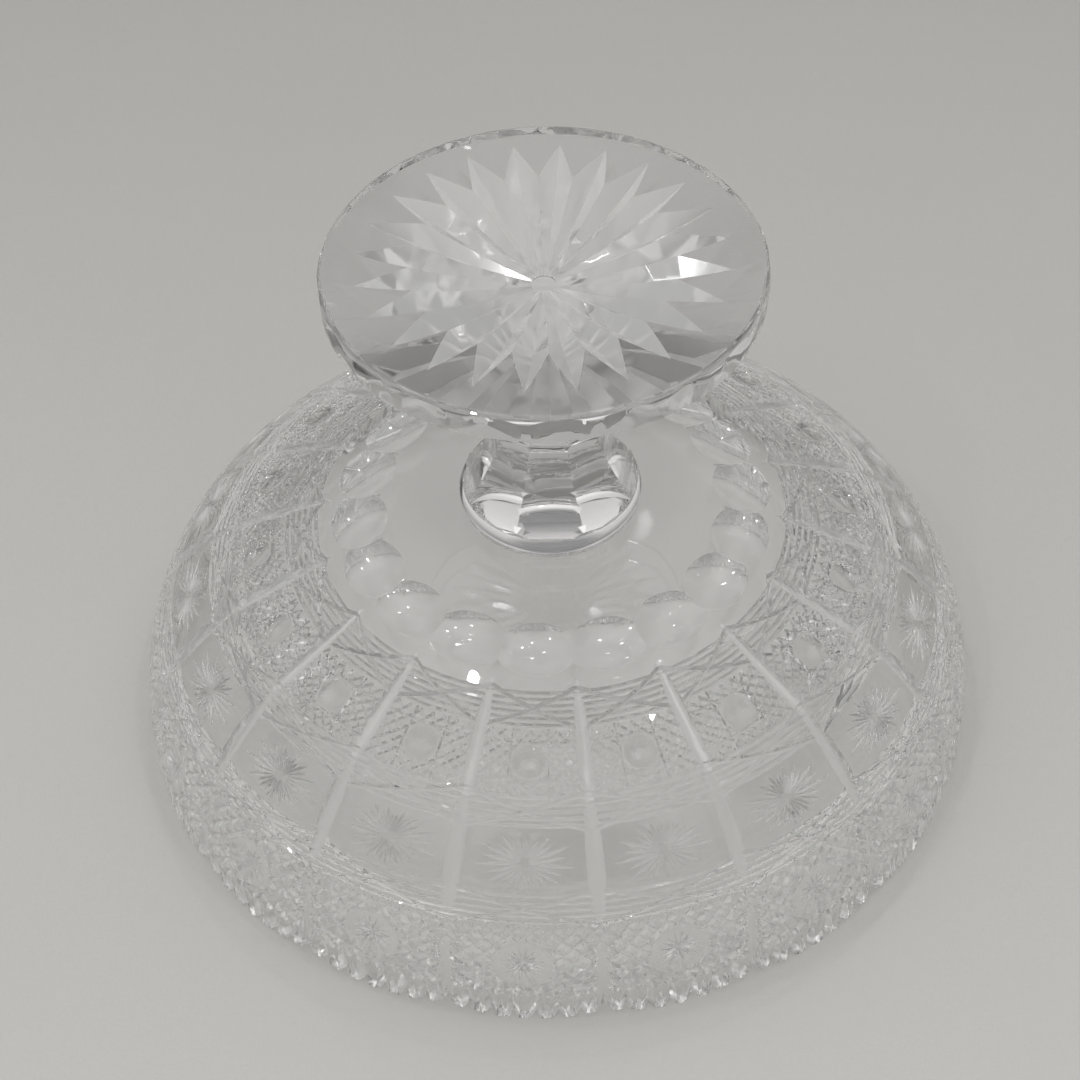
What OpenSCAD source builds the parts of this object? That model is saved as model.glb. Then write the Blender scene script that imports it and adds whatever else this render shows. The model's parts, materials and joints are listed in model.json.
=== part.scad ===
// Footed punch bowl in heavy hand-cut glass, stored mouth down on its toothed rim with the foot up.
// Origin: centre of the rim's circle, on the surface that the rim's teeth touch. +Z points to the foot.

/* [Bowl] */
// Diameter across the outside of the rim
rim_d = 305; // [240:1:370]
// Height from the rim's teeth to the flat that the collar is fused to
bowl_depth = 95; // [79:1:120]
// Wall thickness at the rim
rim_wall = 7; // [5.5:0.5:9]
// Thickness of the bowl's floor
floor_wall = 11; // [8:0.5:14]

/* [Panels] */
// Number of cut panels round the bowl
panel_count = 18; // [14:1:22]
// Rise of the rim from the middle of a panel to its edge
scallop_rise = 4.5; // [2:0.5:7]
// Teeth on the rim of one panel
tooth_count = 7; // [5:2:9]
// Depth of the notch between two teeth
tooth_notch = 1.7; // [1:0.1:2.4]
// Width of the plain flute between two panels
flute_w = 5.5; // [3:0.5:8]
// Depth of the flutes
flute_depth = 1.4; // [0.8:0.1:2.5]
// Plain band between the thumbprints and the upper ends of the flutes
flute_gap = 5.5; // [3:0.5:12]

/* [Thumbprints] */
// Radius of the ring of thumbprints
thumb_ring_r = 69.5; // [56:0.5:84]
// Width of a thumbprint along the wall's slope
thumb_w = 19; // [14:0.5:24]
// Depth of a thumbprint
thumb_depth = 1.9; // [1:0.1:2.6]

/* [Collar] */
// Diameter of the collar between bowl and stem
collar_d = 63.5; // [52:0.5:77]
// Height of the collar
collar_h = 9; // [7:0.5:12]

/* [Stem] */
// Height of the stem
stem_h = 72; // [58:1:88]
// Width across the flats at the waist
waist_w = 27; // [22:0.5:34]
// Height of the waist over the collar
waist_rise = 44; // [36:1:50]
// Number of notches along each edge of the stem
notch_count = 14; // [8:1:16]
// Turn of the stem's flats about the axis
stem_turn = -6; // [-22:1:22]

/* [Foot] */
// Diameter across the corners of the foot
foot_d = 144; // [118:1:175]
// Height of the foot at its edge
foot_edge_h = 9.5; // [7:0.5:12]
// Height of the foot where it meets the stem
foot_h = 25; // [20:0.5:30]
// Number of facets round the foot's edge
edge_facets = 21; // [15:1:28]
// Number of rays in the star under the foot
ray_count = 24; // [16:2:32]
// Width of the plain ring round the star, which the bowl stands on
face_ring_w = 11.5; // [8:0.5:20]
// Depth of the star's rays at the centre
star_depth = 9.5; // [6:0.5:12]
// Diameter of the plain button at the centre of the star
button_d = 8; // [5:0.5:14]
// Turn of the star about the axis
star_turn = 3.9; // [-7.5:0.1:7.5]

/* [Hidden] */
$fn = 96;

rim_r = rim_d / 2;
foot_r = foot_d / 2;
collar_r = collar_d / 2;
panel_angle = 360 / panel_count;
flute_top_r = thumb_ring_r + thumb_w / 2 + flute_gap;
star_r = foot_r - face_ring_w;

// Heights where one piece is fused to the next
stem_base_z = bowl_depth + collar_h;
foot_base_z = stem_base_z + stem_h;
face_z = foot_base_z + foot_h;

// Outline of the wall: a superellipse that runs into the flat under the collar, which stands past it
collar_overhang = 2;
wall_flat_r = collar_r - collar_overhang;
wall_power_r = 1.9;
wall_power_z = 2.65;
wall_steps = 22;

function wall_point(turn, mouth_r, depth) = [
    wall_flat_r + (mouth_r - wall_flat_r) * pow(cos(turn), 2 / wall_power_r),
    depth * pow(sin(turn), 2 / wall_power_z)
];
function wall_turn(r) = acos(pow((r - wall_flat_r) / (rim_r - wall_flat_r), wall_power_r / 2));

// Room that the cutting tools take past the surface they cut
over = 5;

// Flute: the part of the wall's quarter turn over which its upper end comes up to the surface
flute_fade = 12;

// Thumbprints: each is a little longer than its panel is wide, so that neighbours meet in a point
thumb_overlap = 1.04;
thumb_side = 1;

// Collar: the radius of its bulge and the height of the bulge's middle, as shares of its height
bulge_share = 0.78;
bulge_middle = 0.55;

// Stem: its flats are hollowed to one arc from the collar over the waist to the foot, and the edges
// between them are turned down beside the collar
waist_r = waist_w / 2;
collar_ledge = 2.35;
stem_base_r = collar_r - collar_ledge;
waist_z = stem_base_z + waist_rise;
stem_arc_r = (pow(stem_base_r - waist_r, 2) + pow(waist_rise, 2)) / (2 * (stem_base_r - waist_r));
stem_flats = 8;
edge_ratio = 1 / cos(180 / stem_flats);
notch_size = 1.2;
notch_out = 0.2;
notch_start = 0.6;
edge_turndown = 1;

function stem_r(z) = waist_r + stem_arc_r - sqrt(pow(stem_arc_r, 2) - pow(z - waist_z, 2));

// Foot: its edge is rounded to the face, tapers to the back and has flat facets, whose corners are
// left a little round. Its neck stands a step outside the stem.
edge_round = 2.5;
edge_taper = 0.4;
edge_turn = 2.6;
edge_corner = 0.3;
neck_step = 0.6;
foot_neck_r = stem_r(foot_base_z) * edge_ratio + neck_step;

// Star: each ray is the path of a wheel with a V-shaped edge, deepest at the centre. At a depth below
// the face the rays still reach to ray_tip_r, and the ridges between two rays begin at ray_valley_r.
star_half_v = 50;
star_levels = 5;
star_over = 1;
button_sink = 0.5;
ridge_slope = tan(180 / ray_count) / tan(star_half_v);

function ray_tip_r(depth) = star_r * sqrt(max(0, 1 - depth / star_depth));
function ray_valley_r(depth) =
    let (a = star_depth / pow(star_r, 2))
    (sqrt(pow(ridge_slope, 2) + 4 * a * max(0, star_depth - depth)) - ridge_slope) / (2 * a);

glass = [0.86, 0.87, 0.87, 0.55];

module bowl_outline() {
    outside = [for (i = [0:wall_steps]) wall_point(90 * i / wall_steps, rim_r, bowl_depth)];
    inside = [for (i = [wall_steps:-1:0])
        wall_point(90 * i / wall_steps, rim_r - rim_wall, bowl_depth - floor_wall)];
    polygon(concat(outside, [[0, bowl_depth], [0, bowl_depth - floor_wall]], inside));
}

// What the rim of one panel loses: the part under its arc, and a round notch between the teeth
module rim_cut_outline() {
    half = rim_r * sin(panel_angle / 2);
    arc_r = (pow(half, 2) + pow(scallop_rise, 2)) / (2 * scallop_rise);
    tooth_angle = 2 * asin(half / arc_r) / tooth_count;
    difference() {
        translate([-half, -over]) square([2 * half, over + scallop_rise]);
        translate([0, arc_r]) circle(arc_r);
    }
    for (i = [1:tooth_count]) {
        turn = (i - tooth_count / 2) * tooth_angle;
        translate([arc_r * sin(turn), arc_r * (1 - cos(turn))]) circle(tooth_notch);
    }
}

module rim_cuts() {
    depth = rim_wall + 3 * over;
    for (i = [0:panel_count - 1])
        rotate([0, 0, i * panel_angle])
            translate([rim_r - depth + over, 0, 0])
                rotate([90, 0, 90])
                    linear_extrude(height = depth)
                        rim_cut_outline();
}

// A flute follows the wall at its depth, and comes up to the surface at its upper end
module flute_outline() {
    top_turn = wall_turn(flute_top_r);
    cut = [for (i = [0:wall_steps])
        let (turn = top_turn * i / wall_steps)
        let (inset = flute_depth * min(1, (top_turn - turn) / flute_fade))
        wall_point(turn, rim_r - inset, bowl_depth - inset)];
    top = cut[wall_steps];
    polygon(concat(
        [[rim_r - flute_depth, -over]],
        cut,
        [[top[0] + over, top[1] + over], [rim_r + over, top[1] + over], [rim_r + over, -over]]
    ));
}

module flutes() {
    for (i = [0:panel_count - 1])
        rotate([0, 0, (i + 0.5) * panel_angle])
            rotate([90, 0, 0])
                linear_extrude(height = flute_w, center = true)
                    flute_outline();
}

// A thumbprint is the mark of a round-edged wheel that stands across the wall's slope
module thumbprint_wheel() {
    half_l = thumb_ring_r * sin(panel_angle / 2) * thumb_overlap;
    edge_r = pow(thumb_w / 2, 2) / (2 * thumb_depth) + thumb_depth / 2;
    wheel_r = pow(half_l, 2) / (2 * thumb_depth) + thumb_depth / 2;
    half_w = thumb_w / 2 + thumb_side;
    translate([0, 0, wheel_r - thumb_depth])
        rotate([0, 90, 0])
            rotate_extrude()
                intersection() {
                    translate([wheel_r - edge_r, 0]) circle(edge_r);
                    translate([0, -half_w]) square([wheel_r + over, 2 * half_w]);
                }
}

module thumbprints() {
    turn = wall_turn(thumb_ring_r);
    spot = wall_point(turn, rim_r, bowl_depth);
    ahead = wall_point(turn + 1, rim_r, bowl_depth);
    slope = atan2(ahead[1] - spot[1], spot[0] - ahead[0]);
    for (i = [0:panel_count - 1])
        rotate([0, 0, i * panel_angle])
            translate([spot[0], 0, spot[1]])
                rotate([0, slope, 0])
                    thumbprint_wheel();
}

module bowl() {
    color(glass)
        difference() {
            rotate_extrude() bowl_outline();
            rim_cuts();
            flutes();
            thumbprints();
        }
}

module collar() {
    bulge_r = collar_h * bulge_share;
    color(glass)
        translate([0, 0, bowl_depth])
            rotate_extrude()
                intersection() {
                    union() {
                        translate([collar_r - bulge_r, collar_h * bulge_middle]) circle(bulge_r);
                        translate([0, -over]) square([collar_r - bulge_r, collar_h + 2 * over]);
                    }
                    square([collar_r + over, collar_h]);
                }
}

module stem_side() {
    width = 2 * (stem_base_r + over);
    difference() {
        translate([-width / 2, stem_base_z]) square([width, stem_h]);
        for (side = [-1, 1])
            translate([side * (waist_r + stem_arc_r), waist_z]) circle(stem_arc_r);
    }
}

module stem_notches() {
    for (i = [0:notch_count - 1]) {
        z = stem_base_z + stem_h * (i + notch_start) / notch_count;
        rotate_extrude()
            translate([stem_r(z) * edge_ratio + notch_out, z])
                circle(notch_size, $fn = 4);
    }
}

module stem() {
    color(glass)
        rotate([0, 0, stem_turn])
            difference() {
                intersection() {
                    translate([0, 0, stem_base_z]) cylinder(r = stem_base_r + edge_turndown, h = stem_h);
                    flats();
                }
                stem_notches();
            }
}

module flats() {
    intersection_for (i = [0:stem_flats / 2 - 1])
        rotate([90, 0, i * 360 / stem_flats])
            linear_extrude(height = 4 * stem_base_r, center = true)
                stem_side();
}

module foot_blank() {
    rotate_extrude()
        union() {
            polygon([
                [0, foot_base_z],
                [foot_neck_r, foot_base_z],
                [foot_r - edge_taper, face_z - foot_edge_h],
                [foot_r, face_z - edge_round],
                [foot_r - edge_round, face_z],
                [0, face_z]
            ]);
            intersection() {
                translate([foot_r - edge_round, face_z - edge_round]) circle(edge_round);
                translate([foot_r - edge_round, face_z - edge_round]) square(edge_round);
            }
        }
}

module edge_prism() {
    translate([0, 0, foot_base_z - over])
        linear_extrude(height = foot_h + 2 * over)
            polygon([for (i = [0:edge_facets - 1])
                let (turn = edge_turn + 360 * i / edge_facets)
                (foot_r + edge_corner) * [cos(turn), sin(turn)]]);
}

// The star's hollow is stacked from star-shaped outlines, from just over the face down to its apex
module star_hollow() {
    sides = 2 * ray_count;
    depths = [for (i = [0:star_levels])
        (star_depth + star_over) * i / (star_levels + 1) - star_over];
    rings = [for (depth = depths)
        for (i = [0:sides - 1])
            let (r = i % 2 == 0 ? ray_tip_r(depth) : ray_valley_r(depth))
            let (turn = 360 * i / sides)
            [r * cos(turn), r * sin(turn), -depth]];
    apex = len(rings);
    top = [for (i = [sides - 1:-1:0]) i];
    walls = [for (level = [0:star_levels - 1])
        for (i = [0:sides - 1])
            let (a = level * sides + i)
            let (b = level * sides + (i + 1) % sides)
            each [[a, b, b + sides], [a, b + sides, a + sides]]];
    tip = [for (i = [0:sides - 1])
        [star_levels * sides + i, star_levels * sides + (i + 1) % sides, apex]];
    polyhedron(concat(rings, [[0, 0, -star_depth]]), concat([top], walls, tip));
}

module foot() {
    color(glass)
        difference() {
            intersection() {
                foot_blank();
                edge_prism();
            }
            translate([0, 0, face_z])
                rotate([0, 0, star_turn])
                    star_hollow();
            translate([0, 0, face_z - star_depth - button_sink]) cylinder(d = button_d, h = star_depth + over);
        }
}

bowl();
collar();
stem();
foot();
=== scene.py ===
import bisect
import json
import math

import bmesh
import bpy
from mathutils import Matrix, Vector

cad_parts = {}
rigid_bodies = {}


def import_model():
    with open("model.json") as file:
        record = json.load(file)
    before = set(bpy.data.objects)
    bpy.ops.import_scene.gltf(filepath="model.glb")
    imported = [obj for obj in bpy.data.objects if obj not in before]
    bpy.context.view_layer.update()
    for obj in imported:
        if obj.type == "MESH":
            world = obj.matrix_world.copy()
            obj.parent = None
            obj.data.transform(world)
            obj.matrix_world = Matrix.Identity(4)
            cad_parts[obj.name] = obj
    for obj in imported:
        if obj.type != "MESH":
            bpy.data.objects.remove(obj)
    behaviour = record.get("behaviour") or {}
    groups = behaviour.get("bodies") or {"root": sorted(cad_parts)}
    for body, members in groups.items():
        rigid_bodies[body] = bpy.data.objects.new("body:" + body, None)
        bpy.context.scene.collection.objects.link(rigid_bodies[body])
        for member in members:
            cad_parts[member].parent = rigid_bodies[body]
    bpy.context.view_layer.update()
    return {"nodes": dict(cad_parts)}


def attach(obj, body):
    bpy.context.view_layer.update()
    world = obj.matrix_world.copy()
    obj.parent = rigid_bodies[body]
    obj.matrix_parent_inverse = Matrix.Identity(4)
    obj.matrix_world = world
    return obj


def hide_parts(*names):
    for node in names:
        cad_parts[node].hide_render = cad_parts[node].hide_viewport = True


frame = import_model()
print("stage 1: the packed frame is in")

mm = 0.001
hair = 1e-3  # in millimetres: what is closer than this is at one place
scene = bpy.context.scene


def makeObject(name, bm, collection=None):
    mesh = bpy.data.meshes.new(name)
    bm.to_mesh(mesh)
    bm.free()
    piece = bpy.data.objects.new(name, mesh)
    (collection or scene.collection).objects.link(piece)
    return piece


def cutWith(bm, cutters, operation="DIFFERENCE"):  # the wheels are taken from the blank in one go
    bench = bpy.data.collections.new("cuttingWheels")
    scene.collection.children.link(bench)
    blank = makeObject("blank", bm)
    for i, cutter in enumerate(cutters):
        makeObject("wheel" + str(i), cutter, bench)
    boolean = blank.modifiers.new("cuts", "BOOLEAN")
    boolean.operation = operation
    boolean.operand_type = "COLLECTION"
    boolean.collection = bench
    boolean.solver = "MANIFOLD"
    graph = bpy.context.evaluated_depsgraph_get()
    cutMesh = bpy.data.meshes.new_from_object(blank.evaluated_get(graph))
    result = bmesh.new()
    result.from_mesh(cutMesh)
    for wheel in list(bench.objects):
        bpy.data.meshes.remove(wheel.data)
    bpy.data.collections.remove(bench)
    bpy.data.meshes.remove(blank.data)
    bpy.data.meshes.remove(cutMesh)
    return result


# how far a wheel's model stands above the glass, runs past a cut's ends and past a round cut's sides
wheelSizes = {"straightRise": 1.0, "runOut": 0.3, "roundOverlap": 1.15}


def edgeProfile(bm, depth, halfAngle, roundness, rise):
    # cross-section of a wheel's edge, across Y, its deepest point at -depth
    if roundness:
        steps = 6
        half = roundness * wheelSizes["roundOverlap"]
        bow = roundness * roundness / (2 * depth) + depth / 2
        points = [Vector((0, half, rise))]
        for i in range(steps + 1):
            y = half * (1 - 2 * i / steps)
            points.append(Vector((0, y, bow - depth - math.sqrt(max(bow * bow - y * y, 0.01)))))
        points.append(Vector((0, -half, rise)))
    else:
        half = (rise + depth) * math.tan(math.radians(halfAngle))
        points = [Vector((0, half, rise)), Vector((0, 0, -depth)), Vector((0, -half, rise))]
    verts = [bm.verts.new(p) for p in points]
    return bm.faces.new(verts)


def straightCut(start, end, depth, halfAngle):
    # a cut of even depth from one place to the other
    bm = bmesh.new()
    face = edgeProfile(bm, depth, halfAngle, 0, wheelSizes["straightRise"])
    run = Vector((end[0] - start[0], end[1] - start[1], 0))
    grown = bmesh.ops.extrude_face_region(bm, geom=[face])
    verts = [v for v in grown["geom"] if isinstance(v, bmesh.types.BMVert)]
    bmesh.ops.translate(bm, vec=(run.length, 0, 0), verts=verts)
    bmesh.ops.recalc_face_normals(bm, faces=bm.faces)
    place = Matrix.Translation((start[0], start[1], 0)) @ Matrix.Rotation(math.atan2(run.y, run.x), 4, "Z")
    bmesh.ops.transform(bm, matrix=place, verts=bm.verts)
    return bm


def leafCut(start, end, depth, halfAngle, steps, roundness=0, rise=0.6):
    # the mark of a wheel that is let down in the middle: deepest there, a point at each end
    run = Vector((end[0] - start[0], end[1] - start[1], 0))
    wheelRadius = run.length ** 2 / (8 * depth) + depth / 2
    turn = math.asin(min(1, (run.length / 2 + wheelSizes["runOut"]) / wheelRadius))
    bm = bmesh.new()
    face = edgeProfile(bm, depth, halfAngle, roundness, rise)
    hub = (0, 0, wheelRadius - depth)
    bmesh.ops.rotate(bm, verts=bm.verts, cent=hub, matrix=Matrix.Rotation(-turn, 3, "Y"))
    bmesh.ops.spin(bm, geom=[face], cent=hub, axis=(0, 1, 0), angle=2 * turn, steps=steps, use_merge=False)
    bmesh.ops.recalc_face_normals(bm, faces=bm.faces)
    middle = ((start[0] + end[0]) / 2, (start[1] + end[1]) / 2, 0)
    place = Matrix.Translation(middle) @ Matrix.Rotation(math.atan2(run.y, run.x), 4, "Z")
    bmesh.ops.transform(bm, matrix=place, verts=bm.verts)
    return bm


def dimpleCut(centre, halfAcross, halfAlong, depth, segments, rings):
    # an olive or a round printy: the cap of a ball that is stretched across
    ball = halfAlong * halfAlong / (2 * depth) + depth / 2
    bm = bmesh.new()
    bmesh.ops.create_uvsphere(bm, u_segments=segments, v_segments=rings, radius=ball)
    place = Matrix.Translation((centre[0], centre[1], ball - depth))
    place @= Matrix.Diagonal((halfAcross / halfAlong, 1, 1, 1))
    bmesh.ops.transform(bm, matrix=place, verts=bm.verts)
    return bm


def shadeByAngle(bm, degrees):
    for face in bm.faces:
        face.smooth = True
    for edge in bm.edges:
        edge.smooth = edge.calc_face_angle(math.pi) < math.radians(degrees)


def openEdges(bm):
    return sum(1 for edge in bm.edges if not edge.is_manifold)


bowlSizes = {
    "rimRadius": 152.5, "depth": 95.0, "rimWall": 7.0, "floorWall": 11.0,
    "flatRadius": 29.75, "powerAcross": 1.9, "powerUp": 2.65,
    "panels": 18, "scallopRise": 4.5, "scallopFade": 40.0,
    "teeth": 7, "toothRise": 2.1, "toothFade": 7.0, "tipFacets": 4,
    "jointRadius": 29.71, "wallSteps": 240,
    "rimStations": (4.0, 8.5, 14.0, 20.0), "firstStation": 26.0, "stationPitch": 5.5, "stations": 26,
    "valleyAngle": 20, "sharpAngle": 40,
}
# which material slot of the bowl each kind of surface has
polishSlots = {"wall": 0, "joint": 1, "fine": 2, "satin": 3, "rim": 4, "thumb": 5}
halfPanel = math.pi / bowlSizes["panels"]
halfWidth = bowlSizes["rimRadius"] * halfPanel
blankWall = bowlSizes["rimWall"]


def wallPoint(turn, mouthRadius, depth):
    flat = bowlSizes["flatRadius"]
    r = flat + (mouthRadius - flat) * math.cos(turn) ** (2 / bowlSizes["powerAcross"])
    return Vector((max(r, flat), depth * math.sin(turn) ** (2 / bowlSizes["powerUp"])))


wallRuns, wallOutside, wallInside = [], [], []
insideDepth = bowlSizes["depth"] - bowlSizes["floorWall"]
for i in range(bowlSizes["wallSteps"] + 1):
    turn = math.pi / 2 * i / bowlSizes["wallSteps"]
    out = wallPoint(turn, bowlSizes["rimRadius"], bowlSizes["depth"])
    wallRuns.append(wallRuns[-1] + (out - wallOutside[-1]).length if wallRuns else 0)
    wallOutside.append(out)
    wallInside.append(wallPoint(turn, bowlSizes["rimRadius"] - bowlSizes["rimWall"], insideDepth))
wallRuns.append(wallRuns[-1] + bowlSizes["flatRadius"])
wallOutside.append(Vector((0, bowlSizes["depth"])))
wallInside.append(Vector((0, insideDepth)))
wallLength = wallRuns[-1]


def wallAt(run):  # outside and inside of the wall at a run up from the rim
    i = min(max(bisect.bisect_right(wallRuns, run) - 1, 0), len(wallRuns) - 2)
    share = (run - wallRuns[i]) / (wallRuns[i + 1] - wallRuns[i])
    share = min(max(share, 0), 1)
    return wallOutside[i].lerp(wallOutside[i + 1], share), wallInside[i].lerp(wallInside[i + 1], share)


def runAt(radius):
    for i in range(len(wallRuns) - 1):
        if wallOutside[i + 1].x <= radius:
            share = (wallOutside[i].x - radius) / max(wallOutside[i].x - wallOutside[i + 1].x, 1e-9)
            return wallRuns[i] + share * (wallRuns[i + 1] - wallRuns[i])
    return wallLength


def across(x, run):  # millimetres beside the panel's middle, as laid out on the flat blank
    return x * bowlSizes["rimRadius"] / wallAt(run)[0].x


def rimLift(angle, run):  # the scallop of a panel and the round ends of its teeth
    share = angle / halfPanel
    scallop = bowlSizes["scallopRise"] * share * share
    tooth = (share * bowlSizes["teeth"] / 2 + 0.5) % 1
    lobe = bowlSizes["toothRise"] * (2 * tooth - 1) ** 2
    lift = scallop * max(0, 1 - run / bowlSizes["scallopFade"]) ** 2
    return lift + lobe * max(0, 1 - run / bowlSizes["toothFade"]) ** 2


def wrapToWall(bm):  # the flat half panel becomes a wedge of the bowl's wall
    for vert in bm.verts:
        angle = vert.co.x / bowlSizes["rimRadius"]
        run = vert.co.y + rimLift(angle, vert.co.y)
        out, inn = wallAt(run)
        spot = out.lerp(inn, -vert.co.z / blankWall)
        vert.co = (spot.x * math.cos(angle), spot.x * math.sin(angle), spot.y)


def lineAcross(run, depth):  # one line over the half panel's whole width
    spare = 2
    return straightCut((-spare, run), (halfWidth + spare, run), depth, patternSizes["lineAngle"])


def hatchRow(low, high, lines):  # lines along the panel with a long cross over them
    p = patternSizes
    cuts = [lineAcross(low + (high - low) * (i + 0.5) / lines, p["fineDepth"]) for i in range(lines)]
    for side in (-1, 1):
        start = (-side * halfWidth, high + p["crossPast"])
        end = (side * halfWidth, low - p["crossPast"])
        cuts.append(straightCut(start, end, p["crossDepth"], p["crossAngle"]))
    return cuts


def latticeRow(middle, low, high, clear, pitch, slope, depth):  # crossed lines that leave the button free
    cuts = []
    reachX = wallAt(middle)[0].x * halfPanel
    reachY = (high - low) / 2
    lineX, lineY = math.cos(math.radians(slope)), math.sin(math.radians(slope))
    count = int((reachX * lineY + reachY * lineX) / pitch) + 1
    for way in (Vector((lineX, -lineY)), Vector((lineX, lineY))):
        for i in range(-count, count + 1):
            offset = (i + 0.5) * pitch
            base = Vector((-way.y, way.x)) * offset
            ends = []
            for axis, reach in enumerate((reachX, reachY)):
                ends.append(sorted(((-reach - base[axis]) / way[axis], (reach - base[axis]) / way[axis])))
            first, last = max(ends[0][0], ends[1][0]), min(ends[0][1], ends[1][1])
            spans = [(first, last)]
            if abs(offset) < clear:
                gap = math.sqrt(clear * clear - offset * offset)
                spans = [(first, -gap), (gap, last)]
            for a, b in spans:
                p, q = base + way * a, base + way * b
                if b - a < pitch or max(p.x, q.x) < patternSizes["leastReach"]:
                    continue
                start = (across(p.x, middle + p.y), middle + p.y)
                end = (across(q.x, middle + q.y), middle + q.y)
                cuts.append(straightCut(start, end, depth, patternSizes["latticeAngle"]))
    return cuts


def leafStar(middle):  # leaves of two lengths within an oval
    p = patternSizes
    reachX, reachY = p["starReach"]
    cuts = []
    for i in range(p["starRays"]):
        angle = 2 * math.pi * (i + 0.5) / p["starRays"]
        way = Vector((math.cos(angle), math.sin(angle)))
        if way.x < -0.01:
            continue
        share = 1 if i % 2 else p["shortRay"]
        oval = 1 / math.sqrt((way.x / reachX) ** 2 + (way.y / reachY) ** 2)
        ends = []
        for spot in (way * p["starInner"], way * oval * share):
            ends.append((across(spot.x, middle), middle + spot.y))
        cuts.append(leafCut(*ends, p["starDepth"], p["starAngle"], 3))
    return cuts


# runs are measured up the wall from the rim, the rest across or into the glass
patternSizes = {
    "lineAngle": 50, "fineDepth": 0.6, "crossDepth": 0.95, "crossAngle": 48, "crossPast": 0.6,
    "hatchRows": ((109.5, 123.0, 6), (76.5, 88.0, 5), (44.5, 56.0, 5)),
    "latticeAngle": 52, "leastReach": 0.3,
    "buttonRun": 98.5, "buttonRadius": 5.6, "buttonDepth": 1.5, "buttonFrame": 0.8, "frameDepth": 0.6,
    "lace": {"low": 88.5, "high": 109.0, "pitch": 2.9, "slope": 42}, "laceClear": 0.9,
    "frameRuns": (88.0, 109.5),
    "starRun": 66.0, "starRays": 28, "starReach": (17.6, 9.8), "starDepth": 0.85, "starInner": 1.0,
    "starAngle": 42, "shortRay": 0.82,
    "rimButtonRun": 28.5, "rimButtonRadius": 10.0, "rimButtonDepth": 1.5,
    "rimStarRays": 8, "rimStarReach": 8.8, "rimStarDepth": 2.3,
    "rimLattice": {"low": 14.0, "high": 44.0, "pitch": 4.6, "slope": 44, "depth": 1.1},
    "rimLatticeClear": 0.6,
    "toothMitre": {"low": -7.0, "high": 15.5, "depth": 2.0, "steps": 4},
    "gapMitre": {"low": -3.0, "high": 11.0, "depth": 1.1, "steps": 3}, "mitreAngle": 48,
    "flutes": ((83.0, 126.5, 4.2), (44.0, 88.0, 3.6), (-16.0, 49.0, 3.2)),
    "fluteDepth": 1.5, "fluteRise": 1.5, "fluteSteps": 8,
    "thumbRadius": 67.5, "thumbWidth": 20.5, "thumbDepth": 2.6, "thumbAcross": 1.16, "thumbZone": 0.6,
    "buttonGrid": (24, 16), "rimButtonGrid": (32, 20), "thumbGrid": (48, 32),
    "satinBeside": 4.9, "satinRuns": (55.6, 76.6), "rimZone": 44.0, "buttonEdge": 0.2,
}


def buttonCuts():  # small button in its lace, with a square of lines round it
    p = patternSizes
    run, radius = p["buttonRun"], p["buttonRadius"]
    cuts = [dimpleCut((0, run), across(radius, run), radius, p["buttonDepth"], *p["buttonGrid"])]
    cuts += latticeRow(run, clear=radius + p["laceClear"], depth=p["fineDepth"], **p["lace"])
    beside = radius + p["buttonFrame"]
    cuts += [lineAcross(run + side * beside, p["frameDepth"]) for side in (-1, 1)]
    low, high = p["frameRuns"]
    x = across(beside, run)
    cuts.append(straightCut((x, low), (x, high), p["frameDepth"], p["lineAngle"]))
    return cuts


def rimCuts():  # large button with its own star, lattice, and mitres up from the teeth
    p = patternSizes
    run, radius = p["rimButtonRun"], p["rimButtonRadius"]
    cuts = [dimpleCut((0, run), across(radius, run), radius, p["rimButtonDepth"], *p["rimButtonGrid"])]
    cuts += latticeRow(run, clear=radius + p["rimLatticeClear"], **p["rimLattice"])
    for i in range(p["rimStarRays"]):
        angle = math.pi * (i + 0.5) / p["rimStarRays"]
        ray = Vector((across(math.cos(angle), run), math.sin(angle))) * p["rimStarReach"]
        start, end = (-ray.x, run - ray.y), (ray.x, run + ray.y)
        cuts.append(leafCut(start, end, p["rimStarDepth"], p["starAngle"], 6))
    toothWidth = 2 * halfWidth / bowlSizes["teeth"]
    for mitre, places in ((p["toothMitre"], (0.5, 1.5, 2.5, 3.5)), (p["gapMitre"], (1, 2, 3))):
        for place in places:
            x = place * toothWidth
            cuts.append(leafCut((x, mitre["low"]), (x, mitre["high"]), mitre["depth"], p["mitreAngle"],
                                mitre["steps"]))
    return cuts


def panelCuts():
    p = patternSizes
    cuts = []
    for low, high, lines in p["hatchRows"]:
        cuts += hatchRow(low, high, lines)
    cuts += buttonCuts()
    cuts += leafStar(p["starRun"])
    cuts += rimCuts()
    for low, high, width in p["flutes"]:  # between the panels, three leaves end to end
        start, end = (halfWidth, low), (halfWidth, high)
        cuts.append(leafCut(start, end, p["fluteDepth"], 0, p["fluteSteps"], width, p["fluteRise"]))
    run = runAt(p["thumbRadius"])
    wide = halfWidth * p["thumbAcross"]
    for x in (0, 2 * halfWidth):  # the panel's own thumbprint and its neighbour's
        cuts.append(dimpleCut((x, run), wide, p["thumbWidth"] / 2, p["thumbDepth"], *p["thumbGrid"]))
    return cuts


def polishOf(x, run):  # the kind of surface that a cut has at a place of the half panel
    p = patternSizes
    if run > runAt(p["thumbRadius"]) - p["thumbWidth"] * p["thumbZone"]:
        return "thumb"
    if x > halfWidth - p["satinBeside"] or p["satinRuns"][0] < run < p["satinRuns"][1]:
        return "satin"
    beside = x / across(1, run)
    if Vector((beside, run - p["buttonRun"])).length < p["buttonRadius"] - p["buttonEdge"]:
        return "wall"
    if Vector((beside, run - p["rimButtonRun"])).length < p["rimButtonRadius"]:
        return "satin"
    return "rim" if run < p["rimZone"] else "fine"


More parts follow.
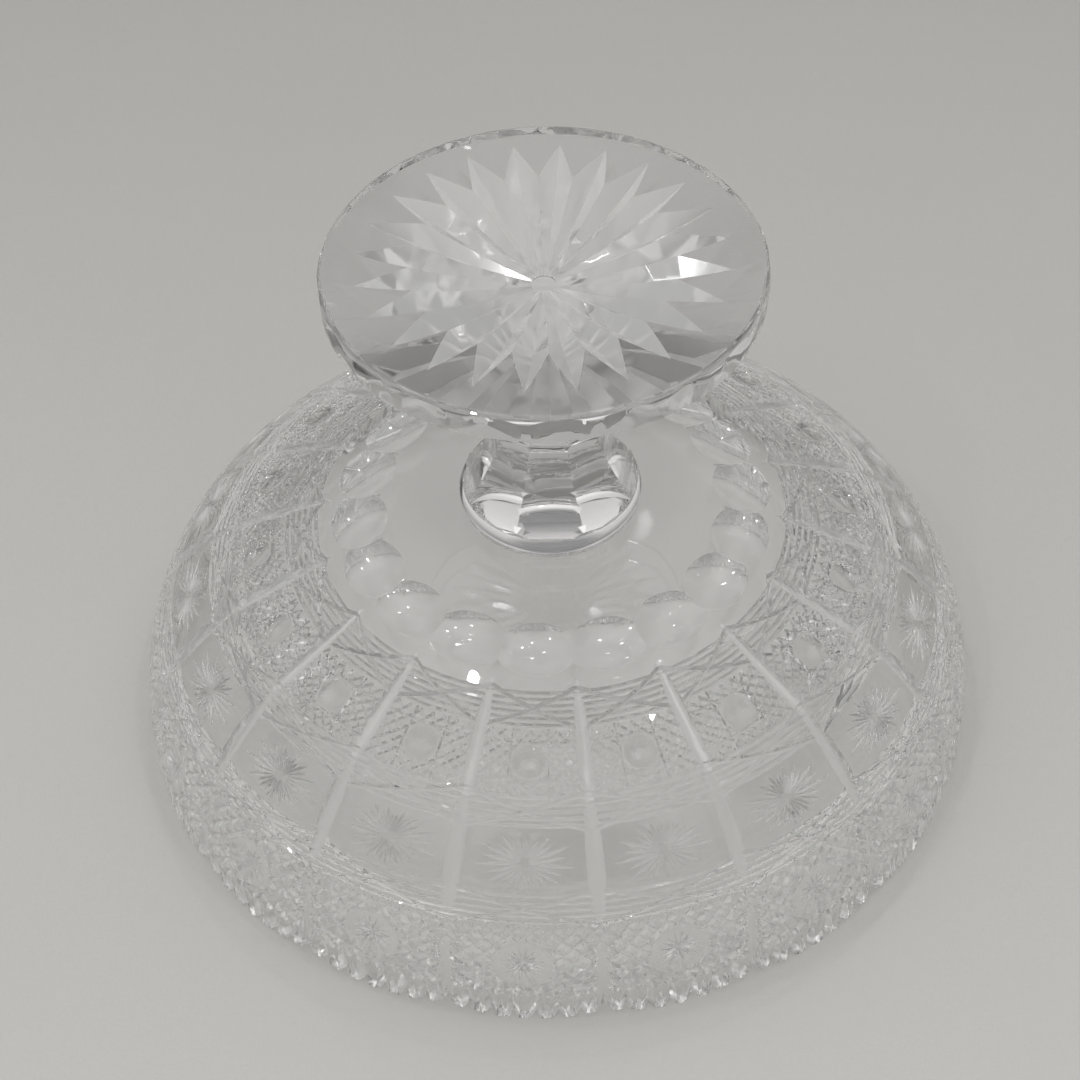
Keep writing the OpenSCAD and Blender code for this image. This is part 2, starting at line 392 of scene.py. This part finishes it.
def markCuts(bm):  # while the blank is flat, a cut and its outline are told from the smooth wall
    for face in bm.faces:
        face.smooth = True
        face.tag = all(v.co.z > -hair for v in face.verts)
        if not face.tag and all(v.co.z > hair - blankWall for v in face.verts):
            middle = face.calc_center_median()
            face.material_index = polishSlots[polishOf(middle.x, middle.y)]
    valley = math.radians(bowlSizes["valleyAngle"])
    for edge in bm.edges:
        tags = [face.tag for face in edge.link_faces]
        edge.smooth = len(set(tags)) == 1 and edge.calc_face_angle(0) < valley


def sliceAt(bm, place, normal, geom=None):  # a ring of edges where a plane meets the mesh
    geom = geom or bm.verts[:] + bm.edges[:] + bm.faces[:]
    bmesh.ops.bisect_plane(bm, geom=geom, dist=hair / 10, plane_co=place, plane_no=normal)


def around(faces):  # faces with their own edges and points
    return list({v for f in faces for v in f.verts}) + list({e for f in faces for e in f.edges}) + faces


def makeHalfPanel():
    b = bowlSizes
    bm = bmesh.new()
    bmesh.ops.create_cube(bm, size=1)
    size = Vector((halfWidth, wallLength, blankWall))
    bmesh.ops.scale(bm, vec=size, verts=bm.verts)
    bmesh.ops.translate(bm, vec=(size.x / 2, size.y / 2, -size.z / 2), verts=bm.verts)
    bm = cutWith(bm, panelCuts())
    print("  half panel after the wheels:", len(bm.verts), "points")
    markCuts(bm)
    for run in b["rimStations"]:
        sliceAt(bm, (0, run, 0), (0, 1, 0))
    for i in range(b["stations"]):
        sliceAt(bm, (0, b["firstStation"] + b["stationPitch"] * i, 0), (0, 1, 0))
    sliceAt(bm, (0, runAt(b["jointRadius"]), 0), (0, 1, 0))
    for i in (1, 2):
        sliceAt(bm, (halfWidth * i / 3, 0, 0), (1, 0, 0))
    facetWidth = 2 * halfWidth / b["teeth"] / b["tipFacets"]
    for i in range(1, b["teeth"] * b["tipFacets"] // 2):  # the tips of the teeth are rounded
        tips = [f for f in bm.faces if max(v.co.y for v in f.verts) < b["rimStations"][0] + 0.01]
        sliceAt(bm, (facetWidth * i, 0, 0), (1, 0, 0), around(tips))
    sides = [f for f in bm.faces if all(v.co.x < hair for v in f.verts)
             or all(v.co.x > halfWidth - hair for v in f.verts)
             or all(v.co.y > wallLength - hair for v in f.verts)]
    bmesh.ops.delete(bm, geom=sides, context="FACES")
    for vert in bm.verts:
        if vert.co.x < hair:
            vert.co.x = 0
        if vert.co.x > halfWidth - hair:
            vert.co.x = halfWidth
    bmesh.ops.triangulate(bm, faces=bm.faces)
    return bm


def makeBowl():
    b = bowlSizes
    bm = makeHalfPanel()
    wrapToWall(bm)
    bmesh.ops.mirror(bm, geom=bm.verts[:] + bm.edges[:] + bm.faces[:], axis="Y", merge_dist=2 * hair)
    copies = b["panels"] - 1
    bmesh.ops.spin(bm, geom=bm.verts[:] + bm.edges[:] + bm.faces[:], cent=(0, 0, 0), axis=(0, 0, 1),
                   angle=2 * math.pi * copies / b["panels"], steps=copies, use_duplicate=True)
    seams = []
    for vert in bm.verts:
        turn = math.atan2(vert.co.y, vert.co.x) / halfPanel
        if abs(turn - round(turn)) * halfPanel * vert.co.xy.length < 2 * hair or vert.co.xy.length < 0.1:
            seams.append(vert)
    bmesh.ops.remove_doubles(bm, verts=seams, dist=4 * hair)
    bmesh.ops.recalc_face_normals(bm, faces=bm.faces)
    print("  bowl:", len(bm.faces), "triangles,", openEdges(bm), "open edges")
    for edge in bm.edges:
        if edge.calc_face_angle(0) > math.radians(b["sharpAngle"]):
            edge.smooth = False
    for face in bm.faces:
        if all(v.co.z > b["depth"] - hair and v.co.xy.length < b["jointRadius"] + 0.01 for v in face.verts):
            face.material_index = polishSlots["joint"]
    bmesh.ops.scale(bm, vec=(mm, mm, mm), verts=bm.verts)
    return makeObject("cutBowl", bm)


bowlPiece = makeBowl()
print("stage 2: the bowl is cut")


collarSizes = {
    "radius": 31.75, "height": 9.0, "base": 95.0, "bulge": 0.78, "bulgeMiddle": 0.55,
    "bulgeSteps": 16, "segments": 144, "sharpAngle": 30,
}
stemSizes = {
    "base": 104.0, "height": 72.0, "waistHeight": 148.0, "baseRadius": 29.4, "waistRadius": 13.5,
    "flats": 8, "turn": -6.0, "edgeRadius": 30.4, "steps": 40, "segments": 144,
    "notches": 14, "notchStart": 0.6, "notchDepth": 0.6, "notchOut": 3.0, "notchSlope": 0.9,
    "notchSegments": 96, "sharpAngle": 14,
}


def octagonPlanes(flatRadius):
    turns = [math.radians(stemSizes["turn"] + 45 * i) for i in range(stemSizes["flats"])]
    return [(Vector((math.cos(a), math.sin(a), 0)), flatRadius) for a in turns]


def facesAt(bm, height):
    return [f for f in bm.faces if all(abs(v.co.z - height) < hair for v in f.verts)]


def markJoint(bm, height, flatRadius):  # where the stem is fused on, the flat has no surface of its own
    planes = octagonPlanes(flatRadius)
    for normal, reach in planes:
        sliceAt(bm, normal * reach, normal, around(facesAt(bm, height)))
    for face in facesAt(bm, height):
        middle = face.calc_center_median()
        inside = all(normal.dot(middle) < reach for normal, reach in planes)
        if inside and middle.xy.length < stemSizes["edgeRadius"]:
            face.material_index = 1


def spinProfile(points, segments):
    bm = bmesh.new()
    verts = [bm.verts.new((r, 0, z)) for r, z in points]
    edges = [bm.edges.new((verts[i], verts[i + 1])) for i in range(len(verts) - 1)]
    bmesh.ops.spin(bm, geom=verts + edges, cent=(0, 0, 0), axis=(0, 0, 1), angle=2 * math.pi,
                   steps=segments, use_merge=True)
    bmesh.ops.remove_doubles(bm, verts=bm.verts, dist=hair)
    bmesh.ops.recalc_face_normals(bm, faces=bm.faces)
    return bm


def makeCollar():
    c = collarSizes
    bulge = c["height"] * c["bulge"]
    points = [(0, c["base"])]
    for i in range(c["bulgeSteps"] + 1):
        z = c["height"] * i / c["bulgeSteps"]
        lean = z - c["height"] * c["bulgeMiddle"]
        points.append((c["radius"] - bulge + math.sqrt(bulge * bulge - lean * lean), c["base"] + z))
    points.append((0, c["base"] + c["height"]))
    bm = spinProfile(points, c["segments"])
    markJoint(bm, c["base"] + c["height"], stemSizes["baseRadius"])
    for face in facesAt(bm, c["base"]):
        face.material_index = 1
    shadeByAngle(bm, c["sharpAngle"])
    print("  collar:", len(bm.faces), "faces,", openEdges(bm), "open edges")
    bmesh.ops.scale(bm, vec=(mm, mm, mm), verts=bm.verts)
    return makeObject("polishedCollar", bm)


def stemRadius(z):
    s = stemSizes
    rise = s["waistHeight"] - s["base"]
    slim = s["baseRadius"] - s["waistRadius"]
    arc = (slim * slim + rise * rise) / (2 * slim)
    return s["waistRadius"] + arc - math.sqrt(arc * arc - (z - s["waistHeight"]) ** 2)


def notchRing(i, edgeRatio):  # a ring that only reaches the stem's edges, where it leaves a notch
    s = stemSizes
    z = s["base"] + s["height"] * (i + s["notchStart"]) / s["notches"]
    r = stemRadius(z) * edgeRatio
    rise = s["notchSlope"] * (s["notchDepth"] + s["notchOut"])
    ring = bmesh.new()
    corners = ((-s["notchDepth"], 0), (s["notchOut"], rise), (s["notchOut"], -rise))
    verts = [ring.verts.new((r + x, 0, z + y)) for x, y in corners]
    edges = [ring.edges.new((verts[k], verts[(k + 1) % 3])) for k in range(3)]
    bmesh.ops.spin(ring, geom=verts + edges, cent=(0, 0, 0), axis=(0, 0, 1), angle=2 * math.pi,
                   steps=s["notchSegments"], use_merge=True)
    bmesh.ops.recalc_face_normals(ring, faces=ring.faces)
    return ring


def turnCorner(bm, degrees):  # turns a many-sided shape so that its first corner points a given way
    corner = bm.verts[:][0]
    first = math.atan2(corner.co.y, corner.co.x)
    bmesh.ops.rotate(bm, verts=bm.verts, cent=(0, 0, 0),
                     matrix=Matrix.Rotation(math.radians(degrees) - first, 3, "Z"))


def makeStem():
    s = stemSizes
    edgeRatio = 1 / math.cos(math.pi / s["flats"])
    bm = bmesh.new()
    bmesh.ops.create_circle(bm, cap_ends=True, segments=s["flats"], radius=stemRadius(s["base"]) * edgeRatio)
    turnCorner(bm, s["turn"] + 180 / s["flats"])
    bmesh.ops.translate(bm, vec=(0, 0, s["base"]), verts=bm.verts)
    top = bm.faces[:][0]
    for i in range(s["steps"]):
        low = s["base"] + s["height"] * i / s["steps"]
        high = s["base"] + s["height"] * (i + 1) / s["steps"]
        grown = bmesh.ops.extrude_face_region(bm, geom=[top])["geom"]
        if i:  # the face that was pulled up stays inside the glass otherwise
            bmesh.ops.delete(bm, geom=[top], context="FACES_ONLY")
        top = [g for g in grown if isinstance(g, bmesh.types.BMFace)][0]
        ratio = stemRadius(high) / stemRadius(low)
        bmesh.ops.translate(bm, vec=(0, 0, high - low), verts=top.verts)
        bmesh.ops.scale(bm, vec=(ratio, ratio, 1), verts=top.verts)
    bmesh.ops.recalc_face_normals(bm, faces=bm.faces)
    sleeve = bmesh.new()
    bmesh.ops.create_cone(sleeve, cap_ends=True, segments=s["segments"], radius1=s["edgeRadius"],
                          radius2=s["edgeRadius"], depth=s["height"] + 20)
    bmesh.ops.translate(sleeve, vec=(0, 0, s["base"] + s["height"] / 2), verts=sleeve.verts)
    bm = cutWith(bm, [sleeve], "INTERSECT")
    bm = cutWith(bm, [notchRing(i, edgeRatio) for i in range(s["notches"])])
    for face in facesAt(bm, s["base"]) + facesAt(bm, s["base"] + s["height"]):
        face.material_index = 1
    bmesh.ops.triangulate(bm, faces=bm.faces)
    shadeByAngle(bm, s["sharpAngle"])
    print("  stem:", len(bm.faces), "triangles,", openEdges(bm), "open edges")
    bmesh.ops.scale(bm, vec=(mm, mm, mm), verts=bm.verts)
    return makeObject("notchedStem", bm)


footSizes = {
    "base": 176.0, "face": 201.0, "radius": 72.0, "edgeHeight": 9.5, "edgeRound": 2.5, "edgeTaper": 0.4,
    "facets": 21, "facetTurn": 2.6, "facetCorner": 0.3, "neckStep": 0.6, "segments": 189, "steps": 6,
    "rays": 24, "starRadius": 60.5, "starDepth": 9.5, "starTurn": 3.9, "rayHalfAngle": 50.0,
    "raySteps": 28, "rayRise": 2.0, "buttonRadius": 4.0, "buttonSink": 0.02, "sharpAngle": 14,
}


def footProfile():
    f = footSizes
    neck = stemRadius(f["base"]) / math.cos(math.pi / stemSizes["flats"]) + f["neckStep"]
    low = (f["radius"] - f["edgeTaper"], f["face"] - f["edgeHeight"])
    points = [(0, f["base"]), (neck, f["base"])]
    for i in range(1, f["steps"] + 1):  # the back of the foot is a plain cone
        share = i / f["steps"]
        points.append((neck + (low[0] - neck) * share, f["base"] + (low[1] - f["base"]) * share))
    for i in range(f["steps"] + 1):
        turn = math.pi / 2 * i / f["steps"]
        points.append((f["radius"] - f["edgeRound"] * (1 - math.cos(turn)),
                       f["face"] - f["edgeRound"] * (1 - math.sin(turn))))
    return points + [(0, f["face"])]


def makeFoot():
    f = footSizes
    bm = spinProfile(footProfile(), f["segments"])
    prism = bmesh.new()
    reach = f["radius"] + f["facetCorner"]
    bmesh.ops.create_cone(prism, cap_ends=True, segments=f["facets"], radius1=reach, radius2=reach, depth=60)
    turnCorner(prism, f["facetTurn"])
    bmesh.ops.translate(prism, vec=(0, 0, f["face"] - 15), verts=prism.verts)
    bm = cutWith(bm, [prism], "INTERSECT")
    cuts = []
    for i in range(f["rays"] // 2):  # each pass of the wheel cuts two rays
        ray = leafCut((-f["starRadius"], 0), (f["starRadius"], 0), f["starDepth"], f["rayHalfAngle"],
                      f["raySteps"], 0, f["rayRise"])
        bmesh.ops.rotate(ray, verts=ray.verts, cent=(0, 0, 0),
                         matrix=Matrix.Rotation(math.radians(f["starTurn"] + 360 * i / f["rays"]), 3, "Z"))
        bmesh.ops.translate(ray, vec=(0, 0, f["face"]), verts=ray.verts)
        cuts.append(ray)
    button = bmesh.new()
    bmesh.ops.create_cone(button, cap_ends=True, segments=48, radius1=f["buttonRadius"],
                          radius2=f["buttonRadius"], depth=20)
    bmesh.ops.translate(button, vec=(0, 0, f["face"] - f["starDepth"] - f["buttonSink"] + 10),
                        verts=button.verts)
    bm = cutWith(bm, cuts + [button])
    markJoint(bm, f["base"], stemRadius(f["base"]))
    for face in bm.faces:
        middle = face.calc_center_median()
        if face.normal.z > 0.3 and middle.xy.length < f["starRadius"] and middle.z < f["face"] - 0.01:
            face.material_index = 2
    bmesh.ops.triangulate(bm, faces=bm.faces)
    shadeByAngle(bm, f["sharpAngle"])
    print("  foot:", len(bm.faces), "triangles,", openEdges(bm), "open edges")
    bmesh.ops.scale(bm, vec=(mm, mm, mm), verts=bm.verts)
    return makeObject("starFoot", bm)


collarPiece = makeCollar()
stemPiece = makeStem()
footPiece = makeFoot()
print("stage 3: collar, stem and foot are cut")


polishInputs = (
    ("Clear Colour", "NodeSocketColor", (0.98, 0.985, 0.985, 1)),
    ("Streak Colour", "NodeSocketColor", (0.94, 0.95, 0.95, 1)),
    ("Streak Scale", "NodeSocketFloat", 18.0),
    ("Wave Scale", "NodeSocketFloat", 60.0),
    ("Wave Height", "NodeSocketFloat", 0.02),
    ("Least Roughness", "NodeSocketFloat", 0.0),
    ("Most Roughness", "NodeSocketFloat", 0.03),
)


def makePolishGroup():  # faint streaks, soft waves and hand polish that a cut crystal shows
    group = bpy.data.node_groups.new("crystalPolish", "ShaderNodeTree")
    for name, kind, value in polishInputs:
        group.interface.new_socket(name=name, in_out="INPUT", socket_type=kind).default_value = value
    for name, kind in (("Colour", "NodeSocketColor"), ("Roughness", "NodeSocketFloat"),
                       ("Normal", "NodeSocketVector")):
        group.interface.new_socket(name=name, in_out="OUTPUT", socket_type=kind)
    nodes, links = group.nodes, group.links
    given = nodes.new("NodeGroupInput")
    result = nodes.new("NodeGroupOutput")
    place = nodes.new("ShaderNodeTexCoord")
    streaks = nodes.new("ShaderNodeTexNoise")
    streaks.inputs["Detail"].default_value = 3
    streaks.inputs["Distortion"].default_value = 0.6
    tint = nodes.new("ShaderNodeMix")
    tint.data_type = "RGBA"
    polish = nodes.new("ShaderNodeMapRange")
    waves = nodes.new("ShaderNodeTexNoise")
    waves.inputs["Detail"].default_value = 2
    bump = nodes.new("ShaderNodeBump")
    bump.inputs["Distance"].default_value = 0.001
    links.new(place.outputs["Object"], streaks.inputs["Vector"])
    links.new(place.outputs["Object"], waves.inputs["Vector"])
    links.new(given.outputs["Streak Scale"], streaks.inputs["Scale"])
    links.new(given.outputs["Wave Scale"], waves.inputs["Scale"])
    links.new(streaks.outputs["Fac"], tint.inputs["Factor"])
    links.new(given.outputs["Clear Colour"], tint.inputs["A"])
    links.new(given.outputs["Streak Colour"], tint.inputs["B"])
    links.new(streaks.outputs["Fac"], polish.inputs["Value"])
    links.new(given.outputs["Least Roughness"], polish.inputs["To Min"])
    links.new(given.outputs["Most Roughness"], polish.inputs["To Max"])
    links.new(waves.outputs["Fac"], bump.inputs["Height"])
    links.new(given.outputs["Wave Height"], bump.inputs["Strength"])
    links.new(tint.outputs["Result"], result.inputs["Colour"])
    links.new(polish.outputs["Result"], result.inputs["Roughness"])
    links.new(bump.outputs["Normal"], result.inputs["Normal"])
    return group


polishGroup = makePolishGroup()


def makeCrystal(name, look):
    material = bpy.data.materials.new(name)
    material.use_nodes = True
    nodes, links = material.node_tree.nodes, material.node_tree.links
    nodes.clear()
    out = nodes.new("ShaderNodeOutputMaterial")
    glass = nodes.new("ShaderNodeBsdfPrincipled")
    glass.inputs["Metallic"].default_value = 0.0
    glass.inputs["Transmission Weight"].default_value = look["clearness"]
    glass.inputs["IOR"].default_value = look["ior"]
    polish = nodes.new("ShaderNodeGroup")
    polish.node_tree = polishGroup
    for key, kind, value in polishInputs:
        polish.inputs[key].default_value = look.get(key, value)
    links.new(polish.outputs["Colour"], glass.inputs["Base Color"])
    links.new(polish.outputs["Roughness"], glass.inputs["Roughness"])
    links.new(polish.outputs["Normal"], glass.inputs["Normal"])
    path = nodes.new("ShaderNodeLightPath")
    clear = nodes.new("ShaderNodeBsdfTransparent")
    clear.inputs["Color"].default_value = look["shadow"]
    shader = glass.outputs["BSDF"]
    for ray in ("Is Shadow Ray", "Is Diffuse Ray"):  # light to and from the cloth goes straight through
        mix = nodes.new("ShaderNodeMixShader")
        links.new(path.outputs[ray], mix.inputs["Fac"])
        links.new(shader, mix.inputs[1])
        links.new(clear.outputs["BSDF"], mix.inputs[2])
        shader = mix.outputs["Shader"]
    links.new(shader, out.inputs["Surface"])
    return material


# clearness is the share of light that goes through, the rest is the white of ground glass
wallLook = {
    "ior": 1.54, "shadow": (0.85, 0.85, 0.85, 1), "clearness": 1.0,
    "Clear Colour": (0.965, 0.967, 0.967, 1), "Streak Colour": (0.93, 0.933, 0.935, 1),
    "Streak Scale": 18.0, "Wave Scale": 55.0, "Wave Height": 0.03,
    "Least Roughness": 0.0, "Most Roughness": 0.03,
}
thickLook = {**wallLook, "Clear Colour": (0.90, 0.888, 0.897, 1), "Streak Colour": (0.88, 0.87, 0.88, 1)}
cutLook = {**wallLook, "Clear Colour": (1, 1, 1, 1), "Streak Colour": (0.97, 0.972, 0.975, 1)}
bowlCrystal = makeCrystal("bowlCrystal", wallLook)
stemCrystal = makeCrystal("stemCrystal", {**thickLook, "Wave Scale": 90.0})
footCrystal = makeCrystal("footCrystal", {**thickLook, "Wave Scale": 40.0})
cutLooks = {
    "fineCut": {"clearness": 0.84},
    "satinCut": {"clearness": 0.78, "Least Roughness": 0.15, "Most Roughness": 0.30},
    "rimCut": {"clearness": 0.68},
    "thumbCut": {"clearness": 0.84, "Least Roughness": 0.04, "Most Roughness": 0.12},
    "rayCut": {"clearness": 0.66, "Least Roughness": 0.05, "Most Roughness": 0.15},
}
cutCrystals = {name: makeCrystal(name, {**cutLook, **look}) for name, look in cutLooks.items()}


def makeFusedJoint():  # inside the glass: where two pieces are one, nothing shows
    material = bpy.data.materials.new("fusedJoint")
    material.use_nodes = True
    glass = material.node_tree.nodes["Principled BSDF"]
    glass.inputs["Alpha"].default_value = 0.0
    glass.inputs["Transmission Weight"].default_value = 1.0
    glass.inputs["IOR"].default_value = 1.0
    return material


fusedJoint = makeFusedJoint()
for piece, crystal, cuts, node, slot in (
    (bowlPiece, bowlCrystal, ("fineCut", "satinCut", "rimCut", "thumbCut"), "bowl", "bowl_glass"),
    (collarPiece, stemCrystal, (), "collar", "stem_glass"),
    (stemPiece, stemCrystal, (), "stem", "stem_glass"),
    (footPiece, footCrystal, ("rayCut",), "foot", "foot_glass"),
):
    for material in (crystal, fusedJoint, *(cutCrystals[name] for name in cuts)):
        piece.data.materials.append(material)
    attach(piece, "root")
    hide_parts(node)
    frame["nodes"][node].data.materials.clear()
    frame["nodes"][node].data.materials.append(crystal)
print("stage 4: the crystal is polished")


stageSizes = {
    "floorRadius": 1.7, "wallRadius": 2.3, "wallHeight": 1.1, "bendSteps": 8, "segments": 96,
    "cloth": (0.70, 0.692, 0.675, 1), "clothShade": (0.65, 0.642, 0.625, 1),
    "mottleScale": 3.0, "weaveScale": 900.0, "weaveStrength": 0.25, "weaveDepth": 0.0006,
    # painted shade: the far colour darkens the cloth's colour along a slanted line towards the back
    "paintedFarShade": (0.74, 0.74, 0.74, 1), "shadeFrom": -0.25, "shadeTo": 0.55, "shadeWay": (0.12, 1, 0),
    # painted light: a paler cloth colour in a round patch under the bowl, standing in for light gathered by
    # the cuts
    "paintedLightPool": (0.80, 0.79, 0.775, 1), "paintedLightRadius": 0.155, "paintedLightEdge": 0.03,
}


def colourMix(nodes, blend="MIX"):
    mix = nodes.new("ShaderNodeMix")
    mix.data_type = "RGBA"
    mix.blend_type = blend
    return mix


def makeCloth():
    s = stageSizes
    material = bpy.data.materials.new("paleCloth")
    material.use_nodes = True
    nodes, links = material.node_tree.nodes, material.node_tree.links
    cloth = nodes["Principled BSDF"]
    cloth.inputs["Roughness"].default_value = 0.9
    cloth.inputs["Specular IOR Level"].default_value = 0.1
    place = nodes.new("ShaderNodeTexCoord").outputs["Object"]
    mottle = nodes.new("ShaderNodeTexNoise")
    mottle.inputs["Scale"].default_value = s["mottleScale"]
    mottle.inputs["Detail"].default_value = 4
    tint = colourMix(nodes)
    tint.inputs["A"].default_value = s["clothShade"]
    tint.inputs["B"].default_value = s["cloth"]
    links.new(place, mottle.inputs["Vector"])
    links.new(mottle.outputs["Fac"], tint.inputs["Factor"])
    # painted shade: the cloth's colour is multiplied darker towards the back
    slant = nodes.new("ShaderNodeVectorMath")
    slant.operation = "DOT_PRODUCT"
    slant.inputs[1].default_value = s["shadeWay"]
    distance = nodes.new("ShaderNodeMapRange")
    distance.inputs["From Min"].default_value = s["shadeFrom"]
    distance.inputs["From Max"].default_value = s["shadeTo"]
    shade = colourMix(nodes, "MULTIPLY")
    shade.inputs["B"].default_value = s["paintedFarShade"]
    links.new(place, slant.inputs[0])
    links.new(slant.outputs["Value"], distance.inputs["Value"])
    links.new(distance.outputs["Result"], shade.inputs["Factor"])
    links.new(tint.outputs["Result"], shade.inputs["A"])
    # painted light: the cloth's colour is paler in a round patch under the bowl, standing in for light that
    # the cuts would gather there
    reach = nodes.new("ShaderNodeVectorMath")
    reach.operation = "LENGTH"
    under = nodes.new("ShaderNodeMapRange")
    under.inputs["From Min"].default_value = s["paintedLightRadius"]
    under.inputs["From Max"].default_value = s["paintedLightRadius"] - s["paintedLightEdge"]
    paintedLightMix = colourMix(nodes)
    paintedLightMix.inputs["B"].default_value = s["paintedLightPool"]
    links.new(place, reach.inputs[0])
    links.new(reach.outputs["Value"], under.inputs["Value"])
    links.new(under.outputs["Result"], paintedLightMix.inputs["Factor"])
    links.new(shade.outputs["Result"], paintedLightMix.inputs["A"])
    links.new(paintedLightMix.outputs["Result"], cloth.inputs["Base Color"])
    weave = nodes.new("ShaderNodeTexNoise")
    weave.inputs["Scale"].default_value = s["weaveScale"]
    bump = nodes.new("ShaderNodeBump")
    bump.inputs["Strength"].default_value = s["weaveStrength"]
    bump.inputs["Distance"].default_value = s["weaveDepth"]
    links.new(place, weave.inputs["Vector"])
    links.new(weave.outputs["Fac"], bump.inputs["Height"])
    links.new(bump.outputs["Normal"], cloth.inputs["Normal"])
    return material


def makeStage():  # a round floor that curves up into a low wall
    s = stageSizes
    bend = s["wallRadius"] - s["floorRadius"]
    points = [(0.0005, 0.0), (0.4, 0.0), (s["floorRadius"], 0.0)]
    for i in range(1, s["bendSteps"] + 1):
        turn = math.pi / 2 * i / s["bendSteps"]
        points.append((s["floorRadius"] + bend * math.sin(turn), bend * (1 - math.cos(turn))))
    points.append((s["wallRadius"], s["wallHeight"]))
    bm = spinProfile(points, s["segments"])
    for face in bm.faces:
        face.smooth = True
        middle = face.calc_center_median()
        if face.normal.dot(Vector((-middle.x, -middle.y, 0.5))) < 0:
            face.normal_flip()
    floor = makeObject("paleCloth", bm)
    floor.data.materials.append(makeCloth())


# each lamp has a place, a width and a power; a dark part of the room has a way, a cosine and a light
roomLights = {
    "aim": (0, 0, 0.1),
    "lamps": (((-0.45, 0.35, 2.2), 0.07, 2.2), ((0.60, -0.20, 2.2), 0.07, 2.2),
              ((0.05, -0.70, 2.3), 0.06, 1.8), ((-0.90, -0.80, 1.9), 0.07, 2.0),
              ((0.25, 0.95, 2.1), 0.07, 2.0)),
    "bands": ((0.38, 0.16), (0.58, 0.42), (0.80, 0.66), (0.96, 1.10)),
    "darkParts": (((-0.03, -0.78, 0.62), 0.94, 0.02), ((0.86, -0.15, 0.50), 0.90, 0.02),
                  ((-0.88, 0.1, 0.48), 0.985, 0.02), ((0.03, 0.80, 0.60), 0.975, 0.25)),
    "partEdge": (0.02, 0.01), "tone": (1, 0.995, 0.975), "strength": 1.2,
}


def addLamp(name, place, size, power):
    lamp = bpy.data.lights.new(name, "AREA")
    lamp.shape = "DISK"
    lamp.size = size
    lamp.energy = power
    holder = bpy.data.objects.new(name, lamp)
    scene.collection.objects.link(holder)
    holder.location = place
    aim = Vector(roomLights["aim"]) - Vector(place)
    holder.rotation_euler = aim.to_track_quat("-Z", "Y").to_euler()


def makeRoom():  # a pale sky that is dim near the floor, with a few dark parts for the cuts to show
    world = bpy.data.worlds.new("paleRoom")
    scene.world = world
    world.use_nodes = True
    nodes, links = world.node_tree.nodes, world.node_tree.links
    sky = nodes["Background"]
    place = nodes.new("ShaderNodeTexCoord").outputs["Generated"]
    parts = nodes.new("ShaderNodeSeparateXYZ")
    height = nodes.new("ShaderNodeValToRGB")
    bands = roomLights["bands"]
    for level, light in bands[1:-1]:
        height.color_ramp.elements.new(level)
    for band, (level, light) in zip(height.color_ramp.elements, bands):
        band.position = level
        band.color = (*(light * tone for tone in roomLights["tone"]), 1)
    links.new(place, parts.inputs["Vector"])
    links.new(parts.outputs["Z"], height.inputs["Fac"])
    colour = height.outputs["Color"]
    outer, inner = roomLights["partEdge"]
    for way, wide, light in roomLights["darkParts"]:
        towards = nodes.new("ShaderNodeVectorMath")
        towards.operation = "DOT_PRODUCT"
        towards.inputs[1].default_value = Vector(way).normalized()
        patch = nodes.new("ShaderNodeMapRange")
        patch.inputs["From Min"].default_value = wide - outer
        patch.inputs["From Max"].default_value = wide + inner
        darker = colourMix(nodes)
        darker.inputs["B"].default_value = (light, light, light, 1)
        links.new(place, towards.inputs[0])
        links.new(towards.outputs["Value"], patch.inputs["Value"])
        links.new(patch.outputs["Result"], darker.inputs["Factor"])
        links.new(colour, darker.inputs["A"])
        colour = darker.outputs["Result"]
    links.new(colour, sky.inputs["Color"])
    sky.inputs["Strength"].default_value = roomLights["strength"]


makeStage()
for i, (place, size, power) in enumerate(roomLights["lamps"]):
    addLamp("ceilingLamp" + str(i), place, size, power)
makeRoom()

cameraSizes = {
    "place": (-0.0444, -0.5579, 0.6715), "turn": -4.1, "tilt": 43.04, "roll": -2.22,
    "lens": 76.5, "sensor": 36, "nearest": 0.01,
}
cameraData = bpy.data.cameras.new("camera")
cameraData.lens = cameraSizes["lens"]
cameraData.sensor_width = cameraSizes["sensor"]
cameraData.clip_start = cameraSizes["nearest"]
camera = bpy.data.objects.new("camera", cameraData)
scene.collection.objects.link(camera)
camera.matrix_world = (Matrix.Translation(cameraSizes["place"])
                       @ Matrix.Rotation(math.radians(cameraSizes["turn"]), 4, "Z")
                       @ Matrix.Rotation(math.radians(cameraSizes["tilt"]), 4, "X")
                       @ Matrix.Rotation(math.radians(cameraSizes["roll"]), 4, "Z"))
scene.camera = camera

scene.view_settings.view_transform = "Standard"
scene.cycles.max_bounces = 28
scene.cycles.transmission_bounces = 24
scene.cycles.transparent_max_bounces = 48
scene.cycles.glossy_bounces = 24
scene.cycles.diffuse_bounces = 3
scene.cycles.caustics_reflective = False
scene.cycles.caustics_refractive = False
print("stage 5: floor, lights and camera are set")
